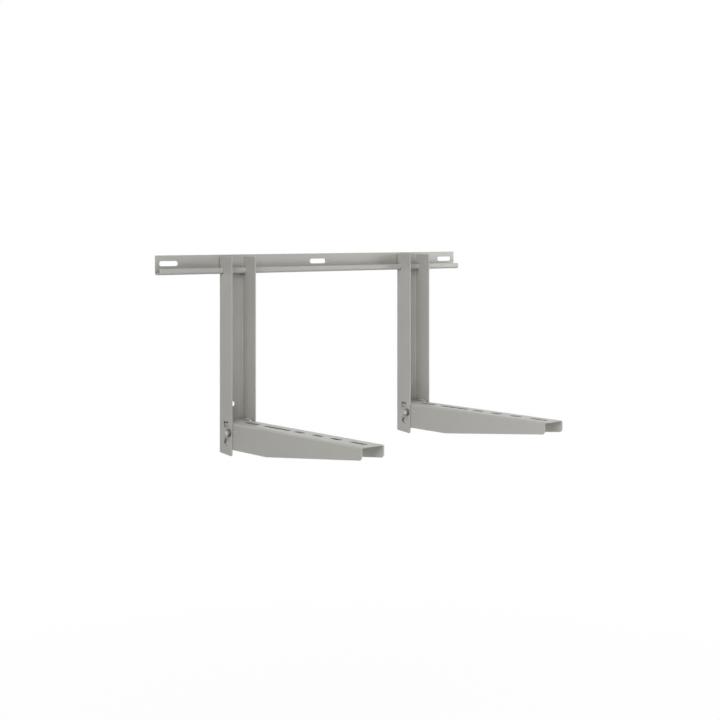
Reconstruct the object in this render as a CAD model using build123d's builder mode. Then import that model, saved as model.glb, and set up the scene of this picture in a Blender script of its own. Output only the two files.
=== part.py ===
from build123d import *
from math import cos, pi, radians, sin
import os

# Wall bracket for the outdoor unit of an air conditioner, in millimetres.
#
# A crossbar folded to a J is screwed to the wall. Two brackets hang in its gutter by hooks cut into their
# uprights, and slide along it to suit the feet of the unit. Each bracket is a channel upright, with an arm
# of inverted channel bolted into its foot. The unit stands on the arms and is bolted through their slots.
#
# The origin is the middle of the crossbar's middle slot, on the wall. X runs along the crossbar, Y into the
# wall and Z up. Depths are measured out from the wall, so a depth d lies at Y = -d.

# Crossbar
crossbar_length = 800.0
crossbar_height = 38.0
crossbar_depth = 18.0
lip_height = 12.0
crossbar_sheet = 2.5
crossbar_bend = 2.0
wall_slot_length = 43.0
wall_slot_width = 10.0
wall_slot_drop = 16.0
wall_slot_end_distance = 30.0

# Uprights
upright_width = 59.0
upright_depth = 44.5
upright_height = 390.0
upright_sheet = 2.5
upright_bend = 2.0
upright_top_drop = 4.0
foot_slant = 4.0
corner_radius = 4.0
wall_hole_length = 16.0
wall_hole_width = 10.0
wall_hole_rise = 93.5

# Hooks, which clear the crossbar by the hook gap all round
hook_gap = 0.3
tongue_chamfer = 3.0
web_relief = 3.0

# Tabs lanced out of each upright flange
lance_gap = 0.5
lance_bend = 1.0
hold_down_depth = 27.0
hold_down_width = 15.0
hold_down_reach = 10.0
snap_hinge_depth = 34.0
snap_drop = 41.5
snap_length = 13.0
snap_width = 9.5
snap_sink = 3.6
snap_tilt = 25.0

# Arms
arm_reach = 440.0
arm_top_rise = 61.5
arm_heel_height = 53.0
arm_toe_height = 23.5
arm_taper_start = 158.0
arm_sheet = 2.0
arm_bend = 2.0
arm_clearance = 0.3
toe_chamfer = 4.5
dimple_diameter = 7.0
dimple_sink = 1.5
dimple_depth = 59.0
dimple_drop = 14.0

# Slots in the top of each arm, from the toe to the heel
arm_slot_width = 10.0
toe_land = 18.0
toe_slot_length = 45.0
short_slot_length = 29.0
short_slot_count = 3
short_slot_land = 25.5
long_slot_land = 15.5
long_slot_length = 82.0
heel_slot_land = 17.5
heel_slot_length = 48.0
heel_land = 2.0

# Bolt, nut and washers that hold an arm in its upright
bolt_diameter = 8.0
bolt_length = 75.0
bolt_depth = 38.5
bolt_drop = 19.5
bolt_hole_diameter = 9.0
bolt_tip_chamfer = 1.0
hexagon_flats = 13.0
hexagon_bevel = 1.1
seat_bevel = 0.3
head_height = 5.3
nut_height = 6.5
thread_clearance = 0.1
washer_diameter = 16.0
washer_bore = 8.4
washer_thickness = 1.6

# Where the middle of each bracket stands along the crossbar
bracket_places = {"left": -223.5, "right": 252.0}

# Heights and depths that follow from these sizes
crossbar_top = wall_slot_drop
crossbar_bottom = crossbar_top - crossbar_height
gutter_floor = crossbar_bottom + crossbar_sheet
lip_top = crossbar_bottom + lip_height
lip_back = crossbar_depth - crossbar_sheet

upright_back = crossbar_sheet + hook_gap
upright_front = upright_back + upright_depth
upright_top = crossbar_top - upright_top_drop
foot_back = upright_top - upright_height
foot_front = foot_back - foot_slant
outer_face = -upright_width / 2
flange_middle = outer_face + upright_sheet / 2
web_middle = upright_back + upright_sheet / 2

arm_width = upright_width - 2 * (upright_sheet + arm_clearance)
arm_face = -arm_width / 2
arm_wall_middle = arm_face + arm_sheet / 2
arm_heel = upright_back + upright_sheet + upright_bend + arm_clearance
arm_top = foot_back + arm_top_rise
bolt_height = arm_top - bolt_drop


# Crossbar: plate on the wall, leg out at its foot, lip up at the front, and three slots for wall screws
wall_slot_reach = crossbar_length / 2 - wall_slot_end_distance

with BuildPart() as crossbar:
    with BuildSketch(Plane.YZ):
        with BuildLine():
            FilletPolyline(
                (-crossbar_sheet / 2, crossbar_top),
                (-crossbar_sheet / 2, crossbar_bottom + crossbar_sheet / 2),
                (-crossbar_depth + crossbar_sheet / 2, crossbar_bottom + crossbar_sheet / 2),
                (-crossbar_depth + crossbar_sheet / 2, lip_top),
                radius=crossbar_bend + crossbar_sheet / 2,
            )
        trace(line_width=crossbar_sheet)
    extrude(amount=crossbar_length / 2, both=True)
    with BuildSketch(Plane.XZ):
        with Locations((-wall_slot_reach, 0), (0, 0), (wall_slot_reach, 0)):
            SlotOverall(wall_slot_length, wall_slot_width)
    extrude(amount=crossbar_sheet, mode=Mode.SUBTRACT)


# Upright: one half of the channel, cut to its outline, lanced and then mirrored about its middle plane
notch_floor = crossbar_bottom - hook_gap
notch_front = crossbar_depth + hook_gap
notch_top = lip_top + hook_gap
tongue_front = lip_back - hook_gap
tongue_floor = gutter_floor + hook_gap
tongue_back = upright_back + upright_sheet + upright_bend
web_floor = tongue_floor + web_relief

# The hold-down tab bends inward over the arm, out of a window as tall as the flat tab was
hold_down_floor = arm_top + arm_clearance
hold_down_hinge = hold_down_floor + upright_sheet + lance_bend
hold_down_flat = hold_down_reach - lance_bend
hold_down_window = pi / 2 * (lance_bend + upright_sheet / 2) + hold_down_flat + lance_gap

# The snap tab is hinged on its front side, leans with its window and springs in behind the arm's own window
snap_hinge = (outer_face, -snap_hinge_depth, arm_top - snap_drop)
snap_toward_free_end = (0, cos(radians(snap_tilt)), sin(radians(snap_tilt)))
snap_down_hinge = (0, sin(radians(snap_tilt)), -cos(radians(snap_tilt)))
snap_window_plane = Plane(origin=snap_hinge, x_dir=snap_toward_free_end, z_dir=(1, 0, 0))
snap_section_plane = Plane(origin=snap_hinge, x_dir=snap_toward_free_end, z_dir=snap_down_hinge)

with BuildPart() as upright:
    with BuildSketch(Plane.XY.offset(foot_front)):
        with BuildLine():
            FilletPolyline(
                (0, -web_middle),
                (flange_middle, -web_middle),
                (flange_middle, -upright_front),
                radius=upright_bend + upright_sheet / 2,
            )
        trace(line_width=upright_sheet)
    extrude(amount=upright_top - foot_front)
    # Slanted foot and rounded front corners
    with BuildSketch(Plane.YZ.offset(outer_face)):
        with BuildLine():
            Polyline(
                (-upright_back, foot_back),
                (-upright_front, foot_front),
                (-upright_front, upright_top),
                (-upright_back, upright_top),
                close=True,
            )
        make_face()
        fillet(vertices().sort_by(Axis.X)[:2], radius=corner_radius)
    extrude(amount=upright_width / 2, mode=Mode.INTERSECT)
    # Notch round the leg and the lip, which leaves a tongue to stand in the gutter
    with BuildSketch(Plane.YZ.offset(outer_face)):
        with BuildLine():
            Polyline(
                (0, notch_floor),
                (-notch_front, notch_floor),
                (-notch_front, notch_top),
                (-tongue_front, notch_top),
                (-tongue_front, tongue_floor + tongue_chamfer),
                (-tongue_front + tongue_chamfer, tongue_floor),
                (-tongue_back, tongue_floor),
                (-tongue_back, web_floor),
                (0, web_floor),
                close=True,
            )
        make_face()
    extrude(amount=upright_width / 2, mode=Mode.SUBTRACT)
    # Bolt hole and the window of the hold-down tab
    with BuildSketch(Plane.YZ.offset(outer_face)):
        with Locations((-bolt_depth, bolt_height)):
            Circle(bolt_hole_diameter / 2)
        with Locations((-hold_down_depth, hold_down_hinge)):
            Rectangle(hold_down_width + 2 * lance_gap, hold_down_window, align=(Align.CENTER, Align.MAX))
    extrude(amount=upright_sheet, mode=Mode.SUBTRACT)
    with BuildSketch(Plane.XZ.offset(hold_down_depth)):
        with BuildLine():
            FilletPolyline(
                (flange_middle, hold_down_hinge + upright_sheet),
                (flange_middle, hold_down_floor + upright_sheet / 2),
                (outer_face + upright_sheet + hold_down_reach, hold_down_floor + upright_sheet / 2),
                radius=lance_bend + upright_sheet / 2,
            )
        trace(line_width=upright_sheet)
    extrude(amount=hold_down_width / 2, both=True)
    # Window and wedge of the snap tab
    with BuildSketch(snap_window_plane):
        Rectangle(snap_length + lance_gap, snap_width + 2 * lance_gap, align=(Align.MIN, Align.CENTER))
    extrude(amount=upright_sheet, mode=Mode.SUBTRACT)
    with BuildSketch(snap_section_plane):
        with BuildLine():
            Polyline(
                (-upright_sheet, 0),
                (0, 0),
                (snap_length, snap_sink),
                (snap_length, snap_sink + upright_sheet),
                (0, upright_sheet),
                (-upright_sheet, upright_sheet),
                close=True,
            )
        make_face()
    extrude(amount=snap_width / 2, both=True)
    mirror(about=Plane.YZ)
    # Slot for the lower wall screw
    with BuildSketch(Plane.XZ.offset(upright_back)):
        with Locations((0, foot_back + wall_hole_rise)):
            SlotOverall(wall_hole_length, wall_hole_width)
    extrude(amount=upright_sheet, mode=Mode.SUBTRACT)


# Arm: one half of the inverted channel, cut to its tapered outline and mirrored, then slotted along its top
def arm_slots():
    """Depth of the middle and length of each slot, from the toe towards the heel, as far as there is room."""
    row = [(toe_land, toe_slot_length)]
    row += [(short_slot_land, short_slot_length)] * short_slot_count
    row += [(long_slot_land, long_slot_length), (heel_slot_land, heel_slot_length)]
    slots = []
    front = arm_reach
    for land, length in row:
        front -= land
        if front - length > upright_front + heel_land:
            slots.append((front - length / 2, length))
        front -= length
    return slots


snap_arm_plane = snap_window_plane.offset(upright_sheet + arm_clearance)

# The dimple in each wall is the mark of a ball pressed in from outside, turned to keep its seam off the wall
dimple_ball = (dimple_diameter**2 / 4 + dimple_sink**2) / (2 * dimple_sink)
dimple_centre = (arm_face + dimple_sink - dimple_ball, -dimple_depth, arm_top - dimple_drop)

with BuildPart() as arm:
    with BuildSketch(Plane.XZ.offset(arm_heel)):
        with BuildLine():
            FilletPolyline(
                (0, arm_top - arm_sheet / 2),
                (arm_wall_middle, arm_top - arm_sheet / 2),
                (arm_wall_middle, arm_top - arm_heel_height),
                radius=arm_bend + arm_sheet / 2,
            )
        trace(line_width=arm_sheet)
    extrude(amount=arm_reach - arm_heel)
    with Locations(dimple_centre):
        Sphere(dimple_ball + arm_sheet, rotation=(0, 0, 180))
    # Level along the heel, then tapered to a clipped toe
    with BuildSketch(Plane.YZ.offset(arm_face)):
        with BuildLine():
            Polyline(
                (-arm_heel, arm_top),
                (-arm_heel, arm_top - arm_heel_height),
                (-arm_taper_start, arm_top - arm_heel_height),
                (-arm_reach, arm_top - arm_toe_height),
                (-arm_reach, arm_top),
                close=True,
            )
        make_face()
        chamfer(vertices().group_by(Axis.X)[0].sort_by(Axis.Y)[0], length=toe_chamfer)
    extrude(amount=arm_width / 2, mode=Mode.INTERSECT)
    with Locations(dimple_centre):
        Sphere(dimple_ball, rotation=(0, 0, 180), mode=Mode.SUBTRACT)
    # Bolt hole, and the window that the snap tab springs into
    with BuildSketch(Plane.YZ.offset(arm_face)):
        with Locations((-bolt_depth, bolt_height)):
            Circle(bolt_hole_diameter / 2)
    extrude(amount=arm_sheet, mode=Mode.SUBTRACT)
    with BuildSketch(snap_arm_plane):
        with Locations((-lance_gap, 0)):
            Rectangle(
                snap_length + 2 * lance_gap,
                snap_width + 2 * lance_gap,
                align=(Align.MIN, Align.CENTER),
            )
    extrude(amount=arm_sheet, mode=Mode.SUBTRACT)
    mirror(about=Plane.YZ)
    with BuildSketch(Plane.XY.offset(arm_top)):
        for depth, length in arm_slots():
            with Locations((0, -depth)):
                SlotOverall(length, arm_slot_width, rotation=90)
    extrude(amount=-arm_sheet, mode=Mode.SUBTRACT)


# Bolt through both flanges of the upright and both walls of the arm, with its head on the left
bolt_axis = Axis((0, -bolt_depth, bolt_height), (1, 0, 0))
head_seat = outer_face - washer_thickness
nut_seat = -outer_face + washer_thickness
hexagon_corners = hexagon_flats / cos(pi / 6)


def bevelled_hexagon(start, height, left_bevel, right_bevel):
    """Hexagon along the bolt axis, with its corners turned down by a bevel at each end."""
    with BuildSketch(Plane.YZ.offset(start)) as hexagon:
        with Locations((-bolt_depth, bolt_height)):
            RegularPolygon(hexagon_flats / 2, 6, major_radius=False)
    extrude(hexagon.sketch, amount=height)
    turning_plane = Plane(origin=(start, -bolt_depth, bolt_height), x_dir=(1, 0, 0), z_dir=(0, -1, 0))
    with BuildSketch(turning_plane) as turned:
        with BuildLine():
            Polyline(
                (0, 0),
                (0, hexagon_corners / 2 - left_bevel),
                (left_bevel / 2, hexagon_corners / 2),
                (height - right_bevel / 2, hexagon_corners / 2),
                (height, hexagon_corners / 2 - right_bevel),
                (height, 0),
                close=True,
            )
        make_face()
    revolve(turned.sketch, axis=bolt_axis, mode=Mode.INTERSECT)


with BuildPart() as arm_bolt:
    bevelled_hexagon(head_seat - head_height, head_height, hexagon_bevel, seat_bevel)
    with BuildSketch(Plane.YZ.offset(head_seat)):
        with Locations((-bolt_depth, bolt_height)):
            Circle(bolt_diameter / 2)
    extrude(amount=bolt_length)
    chamfer(edges().filter_by(GeomType.CIRCLE).sort_by(Axis.X)[-1], length=bolt_tip_chamfer)

with BuildPart() as arm_nut:
    bevelled_hexagon(nut_seat, nut_height, hexagon_bevel, hexagon_bevel)
    with BuildSketch(Plane.YZ.offset(nut_seat)):
        with Locations((-bolt_depth, bolt_height)):
            Circle(bolt_diameter / 2 + thread_clearance)
    extrude(amount=nut_height, mode=Mode.SUBTRACT)

with BuildPart() as head_washer:
    with BuildSketch(Plane.YZ.offset(head_seat)):
        with Locations((-bolt_depth, bolt_height)):
            Circle(washer_diameter / 2)
            Circle(washer_bore / 2, mode=Mode.SUBTRACT)
    extrude(amount=washer_thickness)

with BuildPart() as nut_washer:
    mirror(head_washer.part, about=Plane.YZ)


# Every piece of a bracket is placed twice, once on each side
os.makedirs("parts", exist_ok=True)

crossbar.part.label = "crossbar"
export_step(crossbar.part, "parts/crossbar.step")

bracket_pieces = {
    "upright": upright,
    "arm": arm,
    "arm_bolt": arm_bolt,
    "arm_nut": arm_nut,
    "head_washer": head_washer,
    "nut_washer": nut_washer,
}
for side, bracket_place in bracket_places.items():
    for piece_name, piece in bracket_pieces.items():
        with BuildPart() as placed_piece:
            with Locations((bracket_place, 0, 0)):
                add(piece.part)
        placed_piece.part.label = f"{side}_{piece_name}"
        export_step(placed_piece.part, f"parts/{side}_{piece_name}.step")
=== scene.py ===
import math

import bmesh
import bpy
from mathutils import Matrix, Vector
from mathutils.geometry import delaunay_2d_cdt


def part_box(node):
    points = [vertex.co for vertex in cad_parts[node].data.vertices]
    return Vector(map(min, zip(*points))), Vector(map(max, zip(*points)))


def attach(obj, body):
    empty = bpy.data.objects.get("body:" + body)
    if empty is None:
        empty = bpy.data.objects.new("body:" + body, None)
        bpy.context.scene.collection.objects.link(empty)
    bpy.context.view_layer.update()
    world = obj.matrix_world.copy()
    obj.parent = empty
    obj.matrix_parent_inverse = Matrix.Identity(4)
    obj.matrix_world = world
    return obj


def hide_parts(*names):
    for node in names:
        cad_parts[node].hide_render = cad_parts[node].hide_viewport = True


# Wall bracket for an outdoor unit: folded sheet in a warm grey powder coat, bolted with zinc-plated M8 bolts.
# Lengths are in metres. X runs along the crossbar, Y into the wall and Z up.

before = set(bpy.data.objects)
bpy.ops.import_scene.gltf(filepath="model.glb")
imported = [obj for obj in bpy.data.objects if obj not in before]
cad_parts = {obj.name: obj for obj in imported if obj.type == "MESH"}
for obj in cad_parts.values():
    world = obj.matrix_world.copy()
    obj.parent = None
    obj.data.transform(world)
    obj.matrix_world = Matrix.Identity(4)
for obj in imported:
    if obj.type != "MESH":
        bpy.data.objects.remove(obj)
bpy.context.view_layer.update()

MM = 0.001
SIDES = ("left", "right")
SHEET_PIECES = ("upright", "arm")

# Edges of the coated sheet, which the powder rounds
COATED_EDGE = 0.35 * MM
EDGE_STEPS = 2
EDGE_ROUNDNESS = 0.5
SHARP_ANGLE = math.radians(29)

# Cleaning of the CAD meshes, and the cutting of their flat faces into triangles
FLAT_ANGLE = math.radians(0.4)
WELD_DISTANCE = 0.001 * MM
WHOLE_HULL = 0
CUT_TOLERANCE = 0.00001

# Noise of the coat and of the plate: features per metre, detail, roughness and any stretch
COAT_DRIFT = (9.0, 3.0, 0.55)
COAT_GRAIN = (1500.0, 2.0, 0.6)
COAT_PEEL = (420.0, 1.0, 0.4)
PLATE_CLOUD = (260.0, 3.0, 0.6)
PLATE_SCRATCH = (1800.0, 2.0, 0.7, (0.15, 1.0, 1.0))

# Relief and gloss of the coat and of the plate, where a relief is its depth and its strength
PEEL_RELIEF = (0.05 * MM, 0.8)
SCRATCH_RELIEF = (0.012 * MM, 0.6)
COAT_ROUGHNESS = 0.4
COAT_IOR = 1.48
PLATE_ROUGHNESS = 0.28

# Places painted darker as shade where their surroundings close them in: how near their surroundings count, and how
# open a place is where the painted shade is darkest, and where it is plain
CREVICE_SAMPLES = 8
SLIT = (5 * MM, 0.1, 0.6)
CORNER = (16 * MM, 0.15, 0.65)
SLOT = (12 * MM, 0.9, 1.0)
FASTENER_CREVICE = (4.5 * MM, 0.1, 0.8)

# Layer of the arms' top sheet in front of the uprights, where the cut walls of the slots take little powder. Of
# each pair, the walls are at their darkest at the first and plain at the second: from the layer's middle, and in
# front of the uprights.
ARM_SHEET = 2 * MM
SLOT_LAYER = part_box("left_arm")[1].z - ARM_SHEET / 2
HALF_LAYER = (0.8 * MM, 1.1 * MM)
SLOTS_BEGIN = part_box("left_upright")[0].y
SLOTS_FADE_IN = (2 * MM, 1 * MM)

# Line of the bolts in Y and Z, and how far from it the plate is rubbed bright, fading to dull
low_corner, high_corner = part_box("left_head_washer")
BOLT_AXIS = ((low_corner.y + high_corner.y) / 2, (low_corner.z + high_corner.z) / 2)
RUBBED_REACH = (2.0 * MM, 5.6 * MM)

# Heads, nuts and washers
HEAD_HEIGHT = 5.3 * MM
BEVEL_REACH = 1.15 * MM
BEVEL_HEIGHT = 0.5 * MM
BEVEL_STEPS = 4
SEAT_BEVEL = 0.3 * MM
EDGE_BREAK = 0.12 * MM
NUT_BORE = 8.2 * MM
NUT_COUNTERSINK = 0.5 * MM
WASHER_BORE = 8.4 * MM
PUNCHED_EDGE = 0.22 * MM
PUNCHED_CORNER = 0.3

# Shank and thread of the arm bolts
SHANK_DIAMETER = 8 * MM
SHANK_FILLET = 0.4 * MM
THREAD_PITCH = 1.25 * MM
THREAD_DEPTH = 0.62 * MM
THREAD_FLANK = 1.35
THREAD_LENGTH = 22 * MM
THREAD_RUN_OUT = 1.5 * MM
TIP_CHAMFER = 1.0 * MM
ROWS_PER_PITCH = 8

# Columns round a turned piece, in degrees, with one more on each side of the six corners of a hexagon
HEXAGON_SIDES = 6
SIDE_TURN = 60
COLUMN_STEP = 5
CORNER_COLUMN = 1.2
SIDE_COLUMNS = (0, CORNER_COLUMN, *range(COLUMN_STEP, SIDE_TURN, COLUMN_STEP), SIDE_TURN - CORNER_COLUMN)
TURN_ANGLES = [math.radians(SIDE_TURN * side + column) for side in range(HEXAGON_SIDES) for column in SIDE_COLUMNS]


class Signal:
    """A value on its way through a material's nodes, so that shader maths reads as Python."""

    def __init__(self, finish, socket):
        self.finish = finish
        self.socket = socket

    def maths(self, operation, first, second):
        return self.finish.node("ShaderNodeMath", {"operation": operation}, {0: first, 1: second})

    def __add__(self, other):
        return self.maths("ADD", self, other)

    def __radd__(self, other):
        return self.maths("ADD", other, self)

    def __sub__(self, other):
        return self.maths("SUBTRACT", self, other)

    def __rsub__(self, other):
        return self.maths("SUBTRACT", other, self)

    def __mul__(self, other):
        return self.maths("MULTIPLY", self, other)

    def __rmul__(self, other):
        return self.maths("MULTIPLY", other, self)

    def __abs__(self):
        return self.finish.node("ShaderNodeMath", {"operation": "ABSOLUTE"}, {0: self})

    def or_else(self, other):
        """The larger of two values."""
        return self.maths("MAXIMUM", self, other)


class Finish:
    """A material or the surround, and the one way in which its nodes are made."""

    def __init__(self, holder):
        holder.use_nodes = True
        self.holder = holder
        self.tree = holder.node_tree
        self.tree.nodes.clear()

    def node(self, kind, settings=None, sockets=None, out=0):
        """Makes a node, sets its settings, then its sockets, and gives back one of its outputs."""
        made = self.tree.nodes.new(kind)
        for name, value in (settings or {}).items():
            setattr(made, name, value)
        for name, value in (sockets or {}).items():
            if isinstance(value, Signal):
                self.tree.links.new(value.socket, made.inputs[name])
            else:
                made.inputs[name].default_value = value
        return Signal(self, made.outputs[out]) if len(made.outputs) else made

    def place(self):
        """The place of a point on its piece, which moves with the piece."""
        return self.node("ShaderNodeTexCoord", out="Object")

    def noise(self, scale, detail, roughness, stretch=None):
        """Noise over the piece, in features per metre, drawn out along an axis where stretch says so."""
        where = self.place()
        if stretch:
            where = self.node("ShaderNodeMapping", {}, {"Vector": where, "Scale": stretch})
        return self.node(
            "ShaderNodeTexNoise",
            {"noise_dimensions": "3D"},
            {"Vector": where, "Scale": scale, "Detail": detail, "Roughness": roughness},
        )

    def blend(self, share, first, second):
        """A colour between two others."""
        return self.node(
            "ShaderNodeMix",
            {"data_type": "RGBA", "clamp_factor": True},
            {0: share, 6: first, 7: second},
            out=2,
        )

    def openness(self, crevice, own_only):
        """0 in narrow crevices and 1 in the open, by how much of the view within the reach is free."""
        reach, closed, open_from = crevice
        free = self.node(
            "ShaderNodeAmbientOcclusion",
            {"samples": CREVICE_SAMPLES, "only_local": own_only},
            {"Distance": reach},
            out="AO",
        )
        return self.ramp(free, closed, open_from)

    def ramp(self, value, start, end, low=0.0, high=1.0):
        """Follows a value from low at its start to high at its end, and stays there beyond them."""
        sockets = {"Value": value, "From Min": start, "From Max": end, "To Min": low, "To Max": high}
        return self.node("ShaderNodeMapRange", {"clamp": True}, sockets)

    def distance_from(self, axis):
        """How far a point lies from a line along X, given by its place in Y and Z."""
        flat = self.node("ShaderNodeVectorMath", {"operation": "MULTIPLY"}, {0: self.place(), 1: (0.0, 1.0, 1.0)})
        centre = (0.0, axis[0], axis[1])
        return self.node("ShaderNodeVectorMath", {"operation": "DISTANCE"}, {0: flat, 1: centre}, out="Value")

    def on_slot_walls(self):
        """1 on the cut walls of the arms' slots and 0 elsewhere."""
        where = self.place()
        level, depth = (self.node("ShaderNodeSeparateXYZ", {}, {0: where}, out=axis) for axis in ("Z", "Y"))
        in_layer = self.ramp(abs(level - SLOT_LAYER), *HALF_LAYER, 1.0, 0.0)
        full, none = (SLOTS_BEGIN - fade for fade in SLOTS_FADE_IN)
        in_front = self.ramp(depth, full, none, 1.0, 0.0)
        return in_layer * in_front * (1 - self.openness(SLOT, True))

    def bump(self, height, distance, strength):
        """Relief too fine for the mesh."""
        sockets = {"Height": height, "Distance": distance, "Strength": strength}
        return self.node("ShaderNodeBump", {}, sockets)

    def seen_directly(self):
        """1 where the camera, a reflection or a glass looks at the surface, and 0 where it only gives light."""
        kinds = ("Camera", "Glossy", "Transmission")
        camera, glossy, glass = (self.node("ShaderNodeLightPath", out=f"Is {kind} Ray") for kind in kinds)
        return camera.or_else(glossy).or_else(glass)

    def finish_with(self, **sockets):
        """Closes the material with one shader."""
        named = {name.replace("_", " "): value for name, value in sockets.items()}
        shader = self.node("ShaderNodeBsdfPrincipled", {}, named)
        self.node("ShaderNodeOutputMaterial", {}, {"Surface": shader})
        return self.holder


def shade(red, green, blue):
    """A colour given as it looks on screen, from 0 to 255, as the shader wants it."""
    def linear(level):
        level /= 255
        return level / 12.92 if level <= 0.04045 else ((level + 0.055) / 1.055) ** 2.4

    return (linear(red), linear(green), linear(blue), 1.0)


# Coat colours: two greys of its own tone, then painted shade for inside corners, for the cut walls of the slots and
# for narrow slits and crevices
WARM_GREY_DEEP = shade(174, 173, 168)
WARM_GREY_LIGHT = shade(181, 180, 175)
CORNER_SHADE_PAINT = shade(134, 133, 127)
THIN_POWDER = shade(58, 57, 54)
DARK_SLIT = shade(50, 48, 45)

DULL_ZINC = (shade(124, 125, 124), shade(148, 147, 143))
RUBBED_ZINC = (shade(174, 175, 173), shade(197, 196, 190))
ZINC_CREVICE_SHADE = shade(62, 61, 58)


def powder_coat(name, own_only):
    """Satin powder coat: an even warm grey with a soft orange peel, and bare dark steel where no powder gets in."""
    coat = Finish(bpy.data.materials.new(name))
    drift = coat.noise(*COAT_DRIFT)
    grain = coat.noise(*COAT_GRAIN)
    peel = coat.noise(*COAT_PEEL)
    share = (drift - 0.5) * 1.4 + (grain - 0.5) * 0.5 + 0.5
    even = coat.blend(share, WARM_GREY_DEEP, WARM_GREY_LIGHT)
    full = coat.blend(coat.on_slot_walls(), even, THIN_POWDER)
    # Painted shade: inside corners are darkened by how closed in they are
    corner_shaded = coat.blend(coat.openness(CORNER, own_only), CORNER_SHADE_PAINT, full)
    colour = coat.blend(coat.openness(SLIT, own_only), DARK_SLIT, corner_shaded)
    roughness = COAT_ROUGHNESS + (drift - 0.5) * 0.12 + (peel - 0.5) * 0.1
    relief = peel * 0.7 + grain * 0.3
    return coat.finish_with(
        Base_Color=colour,
        Roughness=roughness,
        IOR=COAT_IOR,
        Normal=coat.bump(relief, *PEEL_RELIEF),
    )


def zinc_plate():
    """Bright zinc plate, a little cloudy, with fine scratches from the barrel."""
    plate = Finish(bpy.data.materials.new("bright_zinc_plate"))
    cloud = plate.noise(*PLATE_CLOUD)
    scratch = plate.noise(*PLATE_SCRATCH)
    rubbed = plate.ramp(plate.distance_from(BOLT_AXIS), *RUBBED_REACH, 1.0, 0.0)
    clean = plate.blend(rubbed, plate.blend(cloud, *DULL_ZINC), plate.blend(cloud, *RUBBED_ZINC))
    # Painted shade: crevices round heads, nuts and washers are darkened by how closed in they are
    colour = plate.blend(plate.openness(FASTENER_CREVICE, False), ZINC_CREVICE_SHADE, clean)
    roughness = PLATE_ROUGHNESS + cloud * 0.14 + scratch * 0.1
    return plate.finish_with(
        Base_Color=colour,
        Metallic=1.0,
        Roughness=roughness,
        Normal=plate.bump(scratch, *SCRATCH_RELIEF),
    )


# The rail's painted shade doesn't depend on what slides along it, so its coat looks at the rail alone
FINISHES = {"powder_coat": powder_coat("satin_powder_coat", False), "zinc_plate": zinc_plate()}
RAIL_FINISH = powder_coat("satin_powder_coat_of_rail", True)


def add_piece(name, mesh, node, body, slot):
    """Puts a finished mesh in the place of a CAD node."""
    piece = bpy.data.objects.new(name, mesh)
    bpy.context.scene.collection.objects.link(piece)
    mesh.materials.clear()
    mesh.materials.append(RAIL_FINISH if body == "rail" else FINISHES[slot])
    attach(piece, body)
    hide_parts(node)


def clean_copy(node):
    """The solid of a CAD node as a bmesh, with its flat faces whole again."""
    shape = bmesh.new()
    shape.from_mesh(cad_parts[node].data)
    bmesh.ops.remove_doubles(shape, verts=shape.verts, dist=WELD_DISTANCE)
    bmesh.ops.dissolve_limit(
        shape,
        angle_limit=FLAT_ANGLE,
        use_dissolve_boundaries=False,
        verts=shape.verts,
        edges=shape.edges,
        delimit=set(),
    )
    return shape


def round_edges(shape):
    """Rounds every sharp edge, as the coat does."""
    shared = (edge for edge in shape.edges if len(edge.link_faces) == 2)
    bmesh.ops.bevel(
        shape,
        geom=[edge for edge in shared if edge.calc_face_angle() > SHARP_ANGLE],
        offset=COATED_EDGE,
        offset_type="OFFSET",
        segments=EDGE_STEPS,
        profile=EDGE_ROUNDNESS,
        affect="EDGES",
        clamp_overlap=False,
        miter_outer="SHARP",
    )


def encloses(outline, point):
    """Tells whether a point of a face lies within its outline, which may run round holes."""
    inside = False
    for here, there in zip(outline, outline[1:] + outline[:1]):
        if (here.y > point.y) != (there.y > point.y):
            crossing = here.x + (point.y - here.y) * (there.x - here.x) / (there.y - here.y)
            inside ^= point.x < crossing
    return inside


def split_broad_faces(shape):
    """Cuts each flat face of many corners into triangles, whatever its outline and its holes."""
    broad = [face for face in shape.faces if len(face.verts) > 4]
    for face in broad:
        corners = list(face.verts)
        level = face.normal.to_track_quat("Z", "Y").inverted()
        outline = [(level @ (corner.co - corners[0].co)).to_2d() / MM for corner in corners]
        points, _, triangles, sources, _, _ = delaunay_2d_cdt(
            outline, [], [range(len(outline))], WHOLE_HULL, CUT_TOLERANCE
        )
        for triangle in triangles:
            middle = sum((points[place] for place in triangle), Vector((0, 0))) / 3
            if encloses(outline, middle):
                shape.faces.new([corners[sources[place][0]] for place in triangle])
    bmesh.ops.delete(shape, geom=broad, context="FACES_ONLY")


def settle(shape, piece_name):
    """Turns a bmesh into a mesh that is smooth round its bends, with its broad faces shaded flat."""
    for face in shape.faces:
        face.smooth = True
    mesh = bpy.data.meshes.new(piece_name)
    shape.to_mesh(mesh)
    shape.free()
    holder = bpy.data.objects.new(piece_name, mesh)
    bpy.context.scene.collection.objects.link(holder)
    holder.modifiers.new("even_faces", "WEIGHTED_NORMAL").mode = "FACE_AREA"
    settled = bpy.data.meshes.new_from_object(holder.evaluated_get(bpy.context.evaluated_depsgraph_get()))
    bpy.data.objects.remove(holder)
    bpy.data.meshes.remove(mesh)
    settled.name = piece_name
    return settled


def coated_sheet(node, body):
    """A folded piece with its edges rounded by the coat."""
    shape = clean_copy(node)
    round_edges(shape)
    split_broad_faces(shape)
    name = f"{node}_coated"
    add_piece(name, settle(shape, name), node, body, "powder_coat")


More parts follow.
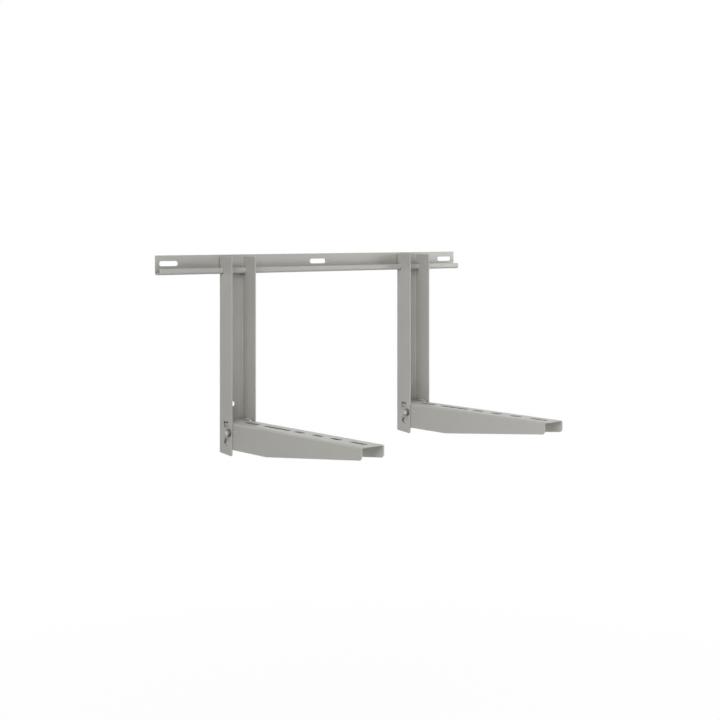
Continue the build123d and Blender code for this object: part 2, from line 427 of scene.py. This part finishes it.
def turned_piece(node, suffix, profile, ring_shaped):
    """A piece turned about the bolt's axis. Its profile lists places along the axis and how far out each reaches."""
    low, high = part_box(node)
    shape = bmesh.new()
    rings = []
    for x, reach in profile:
        radii = [reach(angle) if callable(reach) else reach for angle in TURN_ANGLES]
        rings.append([
            shape.verts.new((
                x,
                (low.y + high.y) / 2 + radius * math.cos(angle),
                (low.z + high.z) / 2 + radius * math.sin(angle),
            ))
            for radius, angle in zip(radii, TURN_ANGLES)
        ])
    following = rings[1:] + rings[:1] if ring_shaped else rings[1:]
    for ring, beyond in zip(rings, following):
        for column in range(len(TURN_ANGLES)):
            beside = (column + 1) % len(TURN_ANGLES)
            shape.faces.new((ring[column], ring[beside], beyond[beside], beyond[column]))
    if not ring_shaped:
        shape.faces.new(rings[0])
        shape.faces.new(rings[-1])
    bmesh.ops.recalc_face_normals(shape, faces=shape.faces)
    side = node.split("_")[0]
    name = f"{node}_{suffix}"
    add_piece(name, settle(shape, name), node, f"{side}_bracket", "zinc_plate")


def hexagon_reach(flats, limit=math.inf):
    """How far out a hexagon reaches at an angle, where a bevel may cut its corners off at a limit."""
    def reach(angle):
        from_flat = angle % math.radians(SIDE_TURN) - math.radians(SIDE_TURN) / 2
        return min(flats / 2 / math.cos(from_flat), limit)

    return reach


def bevelled_rows(flats, face, inward):
    """Rows of a hexagon from its bevelled face to just past the bevel, where inward is 1 or -1 along the axis."""
    corner = flats / math.sqrt(3)
    rows = [(face, corner - BEVEL_REACH - EDGE_BREAK)]
    for step in range(BEVEL_STEPS + 1):
        share = step / BEVEL_STEPS
        x = face + inward * (EDGE_BREAK / 2 + BEVEL_HEIGHT * share)
        rows.append((x, hexagon_reach(flats, corner - BEVEL_REACH * (1 - share))))
    return rows


def thread_reach(x, tip):
    """How far out the bolt's shank reaches at a place along it, by the angle round it."""
    from_tip = tip - x
    full = SHANK_DIAMETER / 2 - max(0, TIP_CHAMFER - from_tip)
    fade = min(1.0, max(0.0, (THREAD_LENGTH - from_tip) / THREAD_RUN_OUT))

    def reach(angle):
        phase = (x / THREAD_PITCH - angle / (2 * math.pi)) % 1.0
        groove = min(1.0, max(0.0, THREAD_FLANK * (1 - abs(4 * phase - 2))))
        return min(full, SHANK_DIAMETER / 2 - THREAD_DEPTH * groove * fade)

    return reach


def arm_bolt(node):
    """Hexagon bolt with its head on the left and a real thread at its tip."""
    low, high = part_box(node)
    flats = high.z - low.z
    seat = low.x + HEAD_HEIGHT
    profile = bevelled_rows(flats, low.x, 1)
    profile += [
        (seat - SEAT_BEVEL, hexagon_reach(flats)),
        (seat - EDGE_BREAK, flats / 2),
        (seat, flats / 2 - EDGE_BREAK),
        (seat, SHANK_DIAMETER / 2 + SHANK_FILLET),
        (seat + SHANK_FILLET, SHANK_DIAMETER / 2),
    ]
    rows = round(THREAD_LENGTH / THREAD_PITCH * ROWS_PER_PITCH)
    for row in range(rows + 1):
        x = high.x - THREAD_LENGTH * (1 - row / rows)
        profile.append((x, thread_reach(x, high.x)))
    turned_piece(node, "threaded", profile, False)


def arm_nut(node):
    """Hexagon nut, bevelled and countersunk on both faces."""
    low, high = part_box(node)
    flats = high.z - low.z
    profile = bevelled_rows(flats, low.x, 1) + bevelled_rows(flats, high.x, -1)[::-1]
    profile += [
        (high.x, NUT_BORE / 2 + NUT_COUNTERSINK),
        (high.x - NUT_COUNTERSINK, NUT_BORE / 2),
        (low.x + NUT_COUNTERSINK, NUT_BORE / 2),
        (low.x, NUT_BORE / 2 + NUT_COUNTERSINK),
    ]
    turned_piece(node, "plated", profile, True)


def washer(node):
    """Plain punched washer with rounded rims."""
    low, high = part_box(node)
    rim = (high.z - low.z) / 2
    profile = []
    for face, inward in ((low.x, PUNCHED_EDGE), (high.x, -PUNCHED_EDGE)):
        side = [
            (face + inward, WASHER_BORE / 2),
            (face + inward * PUNCHED_CORNER, WASHER_BORE / 2 + PUNCHED_EDGE * PUNCHED_CORNER),
            (face, WASHER_BORE / 2 + PUNCHED_EDGE),
            (face, rim - PUNCHED_EDGE),
            (face + inward * PUNCHED_CORNER, rim - PUNCHED_EDGE * PUNCHED_CORNER),
            (face + inward, rim),
        ]
        profile += side if inward > 0 else side[::-1]
    turned_piece(node, "plated", profile, True)


coated_sheet("crossbar", "rail")
for side in SIDES:
    for piece in SHEET_PIECES:
        coated_sheet(f"{side}_{piece}", f"{side}_bracket")
    arm_bolt(f"{side}_arm_bolt")
    arm_nut(f"{side}_arm_nut")
    washer(f"{side}_head_washer")
    washer(f"{side}_nut_washer")


# Camera: level, at the photograph's angle, with its frame shifted down to where the photograph's is
PHOTO_WIDTH = 720
FOCAL_PIXELS = 1357.05
HORIZON_ROW = 231.56
SENSOR_WIDTH = 36.0
VIEW_REACH = 100.0
CAMERA_PLACE = (-1790.4 * MM, -2254.6 * MM, 62.2 * MM)
CAMERA_HEADING = math.radians(-40.26)
LEVEL_TILT = math.radians(90)

view = bpy.data.cameras.new("studio_camera")
view.sensor_fit = "HORIZONTAL"
view.sensor_width = SENSOR_WIDTH
view.lens = FOCAL_PIXELS / PHOTO_WIDTH * SENSOR_WIDTH
view.shift_y = (HORIZON_ROW - PHOTO_WIDTH / 2) / PHOTO_WIDTH
view.clip_end = VIEW_REACH
camera = bpy.data.objects.new("studio_camera", view)
camera.location = CAMERA_PLACE
camera.rotation_euler = (LEVEL_TILT, 0, CAMERA_HEADING)
bpy.context.scene.collection.objects.link(camera)
bpy.context.scene.camera = camera

# Studio: a white floor well below the bracket, as below a wall. Near the middle a share of it is chalk, which
# shows the shadow and fades out with the distance. It lights the bracket only as much as a darker paint would.
FLOOR_DROP = 1.15
FLOOR_SIZE = 60.0
WHITE = (1.0, 1.0, 1.0, 1.0)
CHALK = (0.95, 0.95, 0.95, 1.0)
FLOOR_PAINT = (0.3, 0.3, 0.3, 1.0)
SHADOW_SHARE = 0.06
SHADOW_FADE = (0.4, 1.8)

# Soft lamps, each turned to the middle of the bracket: degrees to the right of straight out from the wall, degrees
# up from level, metres away, metres across and watts
MIDDLE = Vector((0.0, -0.15, -0.18))
LAMPS = {
    "key_lamp": (-46, 40, 4.5, 3.4, 148),
    "top_lamp": (0, 88, 4.5, 3.4, 49),
    "left_lamp": (-65, 5, 4.5, 3.4, 18),
    "low_left_lamp": (-60, -28, 1.3, 0.8, 2.2),
    "low_front_lamp": (-13, -33, 1.05, 0.7, 4),
    "back_lamp": (180, 10, 4.5, 3.4, 80),
    "right_lamp": (70, 5, 1.3, 0.7, 7.2),
}

# Light from all round, which reaches what the lamps don't
SOFT_LIGHT = 0.03


def white_floor():
    """White to the eye out to the horizon, with a share of chalk below the bracket to take its shadow."""
    paint = Finish(bpy.data.materials.new("studio_floor"))
    distance = paint.node("ShaderNodeVectorMath", {"operation": "LENGTH"}, {0: paint.place()}, out="Value")
    white = paint.ramp(distance, *SHADOW_FADE, 1 - SHADOW_SHARE, 1.0)
    chalk = paint.node("ShaderNodeBsdfDiffuse", {}, {"Color": CHALK})
    glow = paint.node("ShaderNodeEmission", {}, {"Color": WHITE, "Strength": 1.0})
    shown = paint.node("ShaderNodeMixShader", {}, {0: white, 1: chalk, 2: glow})
    matt = paint.node("ShaderNodeBsdfDiffuse", {}, {"Color": FLOOR_PAINT})
    surface = paint.node("ShaderNodeMixShader", {}, {0: paint.seen_directly(), 1: matt, 2: shown})
    paint.node("ShaderNodeOutputMaterial", {}, {"Surface": surface})
    return paint.holder


bpy.ops.mesh.primitive_plane_add(size=FLOOR_SIZE, location=(0, 0, -FLOOR_DROP))
floor = bpy.context.object
floor.name = "studio_floor"
floor.data.materials.append(white_floor())


def studio_lamp(name, turn, rise, distance, size, power):
    """A square soft lamp that looks at the middle of the bracket."""
    lamp = bpy.data.lights.new(name, "AREA")
    lamp.shape = "SQUARE"
    lamp.size = size
    lamp.energy = power
    turn, rise = math.radians(turn), math.radians(rise)
    outward = Vector((math.sin(turn) * math.cos(rise), -math.cos(turn) * math.cos(rise), math.sin(rise)))
    holder = bpy.data.objects.new(name, lamp)
    holder.location = MIDDLE + outward * distance
    holder.rotation_euler = outward.to_track_quat("Z", "Y").to_euler()
    holder.visible_camera = False
    bpy.context.scene.collection.objects.link(holder)


for lamp_name, setting in LAMPS.items():
    studio_lamp(lamp_name, *setting)


def white_surround():
    """Even light from all round, with white where the camera or a reflection looks past the bracket."""
    air = Finish(bpy.data.worlds.new("studio_surround"))
    soft = air.node("ShaderNodeBackground", {}, {"Color": WHITE, "Strength": SOFT_LIGHT})
    white = air.node("ShaderNodeBackground", {}, {"Color": WHITE, "Strength": 1.0})
    light = air.node("ShaderNodeMixShader", {}, {0: air.seen_directly(), 1: soft, 2: white})
    air.node("ShaderNodeOutputWorld", {}, {"Surface": light})
    bpy.context.scene.world = air.holder


white_surround()
bpy.context.scene.view_settings.view_transform = "Standard"
